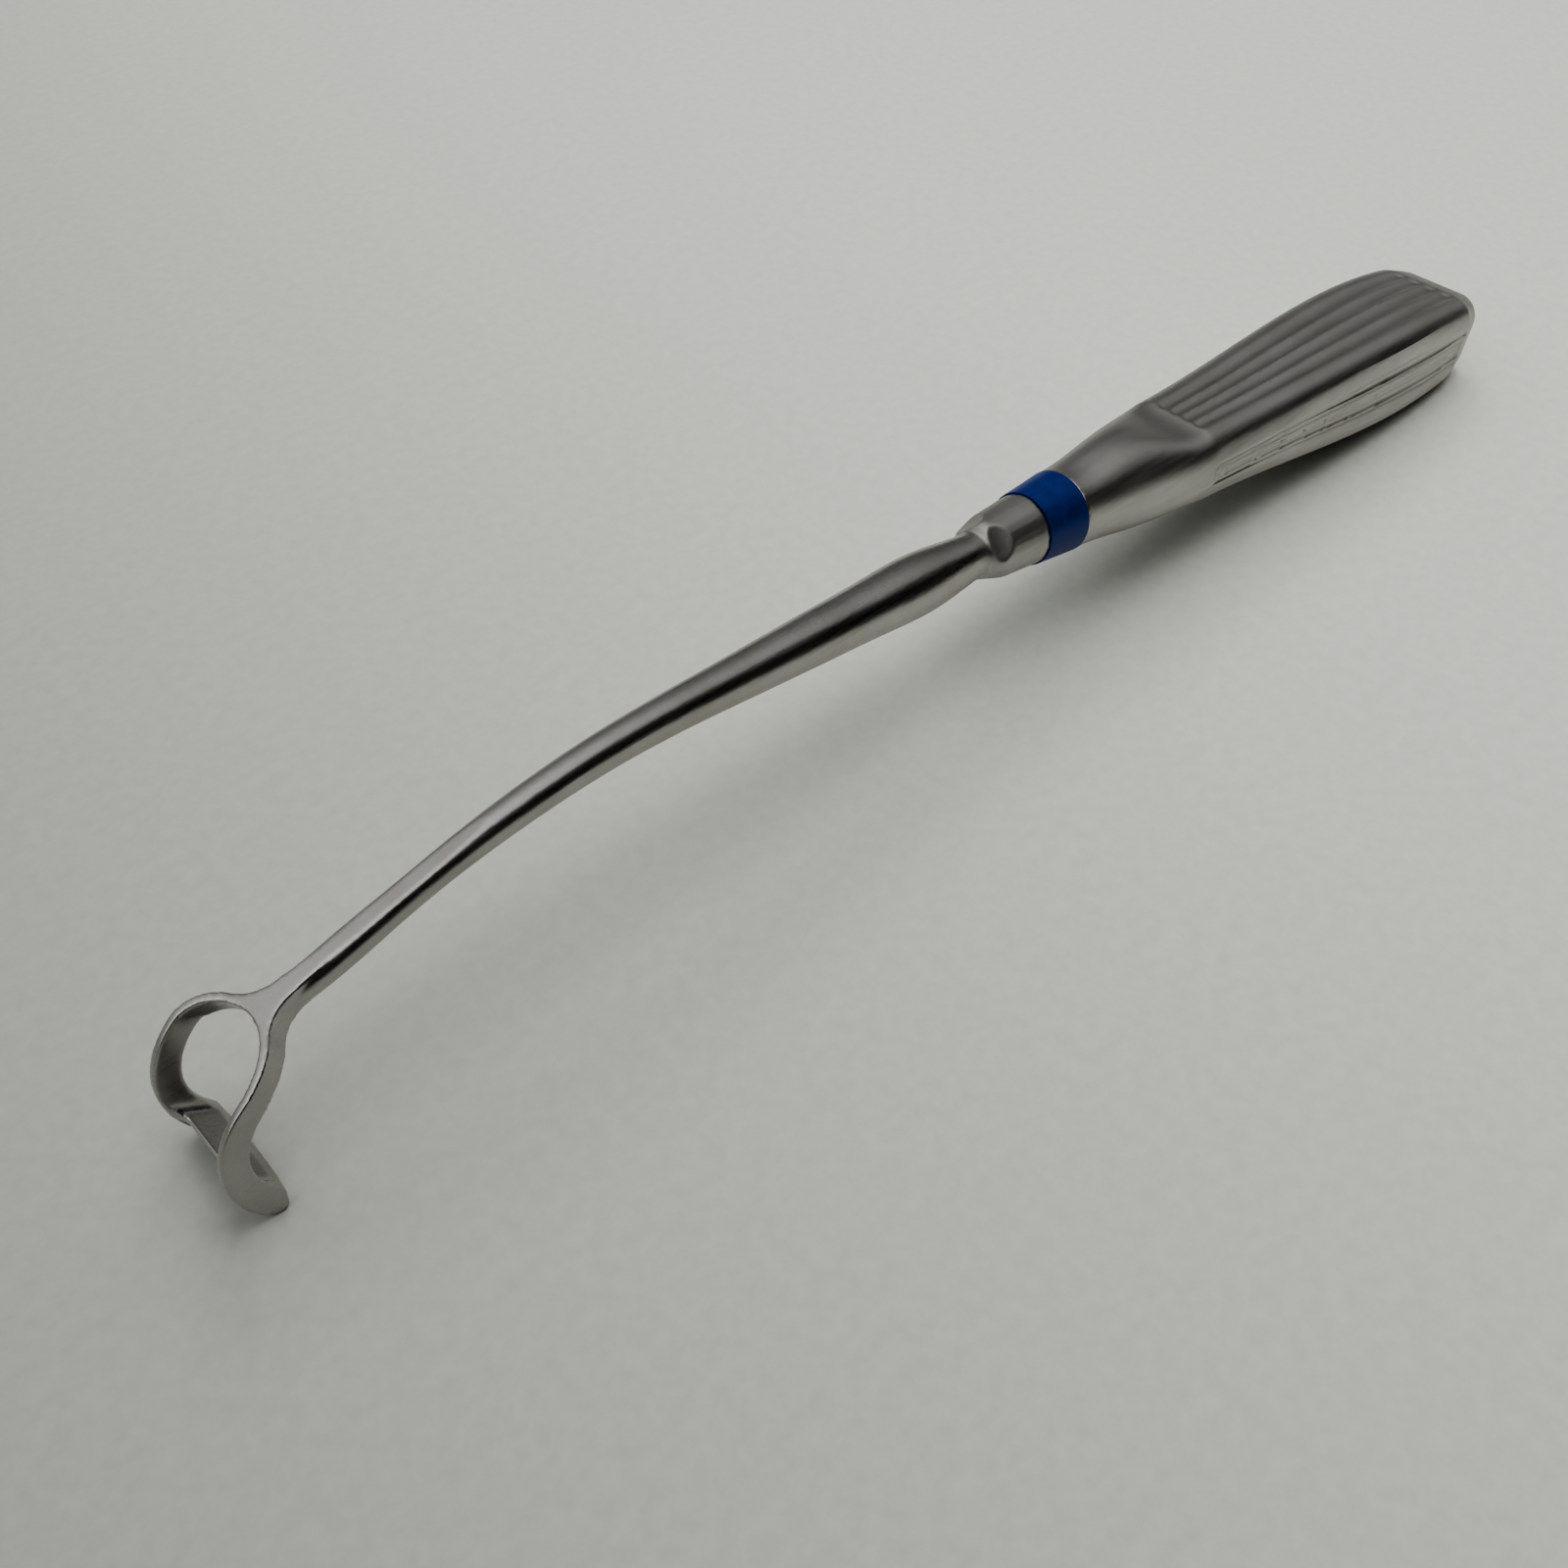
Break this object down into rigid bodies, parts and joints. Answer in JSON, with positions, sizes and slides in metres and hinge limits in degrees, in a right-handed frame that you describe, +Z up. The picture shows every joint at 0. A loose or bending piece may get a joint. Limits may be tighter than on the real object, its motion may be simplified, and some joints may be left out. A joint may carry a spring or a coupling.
{
  "type": "adenoid curette",
  "caption": "Adenoid curette: round steel shaft bent down to a curled ring blade with an open window, on a fluted hollow handle with a coloured band.",
  "frame": {"origin": "centre of the bounding box's base, on the surface the instrument lies on", "axes": "+X along the instrument towards the butt of the handle, +Y across it, +Z up"},
  "size_m": [0.2252, 0.0196, 0.0277],
  "materials": {
    "steel": "satin, fine polishing marks along the shaft",
    "handle_steel": "matt satin",
    "band": "satin enamel"
  },
  "bodies": {
    "root": {"curette_shaft": "steel", "handle": "handle_steel", "colour_band": "band"}
  },
  "joints": []
}
